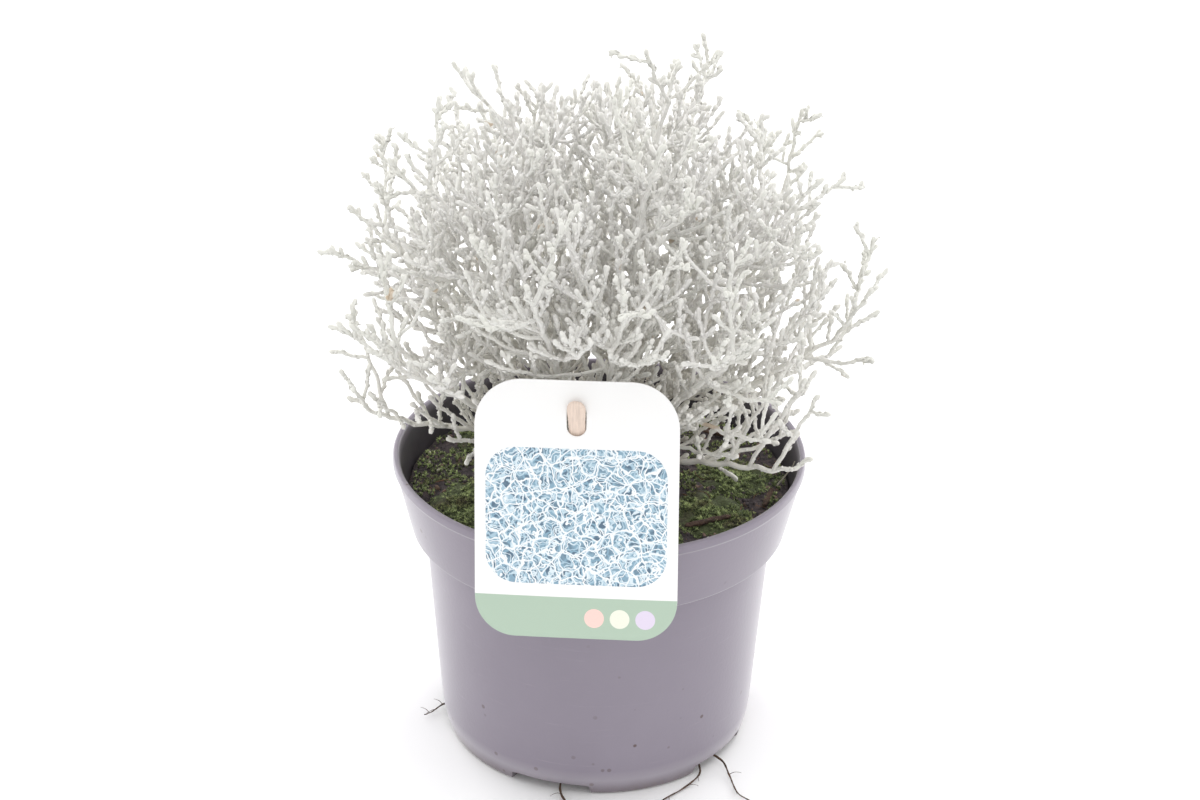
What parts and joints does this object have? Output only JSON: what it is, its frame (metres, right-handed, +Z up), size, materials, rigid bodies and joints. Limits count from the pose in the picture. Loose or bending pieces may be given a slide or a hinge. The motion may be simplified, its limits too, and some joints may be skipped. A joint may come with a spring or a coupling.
{
  "type": "potted cushion bush",
  "caption": "Globe of silver-white forking twigs in compost with moss, in a tapered plastic nursery pot with a card label on a flat stick at its rim.",
  "frame": {"origin": "middle of the flat pad under the pot, on the plane that the pot stands on", "axes": "+Z up through the middle of the pot, -Y towards the front, where the label hangs, +X to the right seen from the front"},
  "size_m": [0.1718, 0.1649, 0.2308],
  "materials": {
    "pot_plastic": "grey-mauve moulded plastic, satin, lightly dusty and scuffed",
    "compost": "dark moist peat compost with bits of bark",
    "moss": "short green moss, darker and drier in patches",
    "bark": "rough brown bark",
    "root": "dry brown root",
    "silver_wool": "silver-white felted scale leaves pressed to thin stems",
    "label_card": "printed card, semi-gloss",
    "label_stick": "plain pale wood, sanded"
  },
  "bodies": {
    "root": {"pot": "pot_plastic", "compost": "compost", "bush_stem_01": "silver_wool", "bush_stem_02": "silver_wool", "bush_stem_03": "silver_wool", "bush_stem_04": "silver_wool", "bush_stem_05": "silver_wool", "bush_stem_06": "silver_wool", "bush_stem_07": "silver_wool", "bush_stem_08": "silver_wool", "bush_stem_09": "silver_wool", "bush_stem_10": "silver_wool", "bush_stem_11": "silver_wool", "bush_stem_12": "silver_wool", "bush_stem_13": "silver_wool", "bush_stem_14": "silver_wool", "bush_stem_15": "silver_wool", "bush_stem_16": "silver_wool", "bush_stem_17": "silver_wool", "bush_stem_18": "silver_wool", "bush_stem_19": "silver_wool", "bush_stem_20": "silver_wool", "moss_1": "moss", "moss_2": "moss", "moss_3": "moss", "moss_4": "moss", "moss_5": "moss", "moss_6": "moss", "moss_7": "moss", "bark_chip_1": "bark", "bark_chip_2": "bark", "bark_chip_3": "bark", "root_strand_1": "root", "root_strand_2": "root", "root_strand_3": "root", "root_strand_4": "root", "root_strand_5": "root", "label_card": "label_card", "label_stick": "label_stick"}
  },
  "joints": []
}
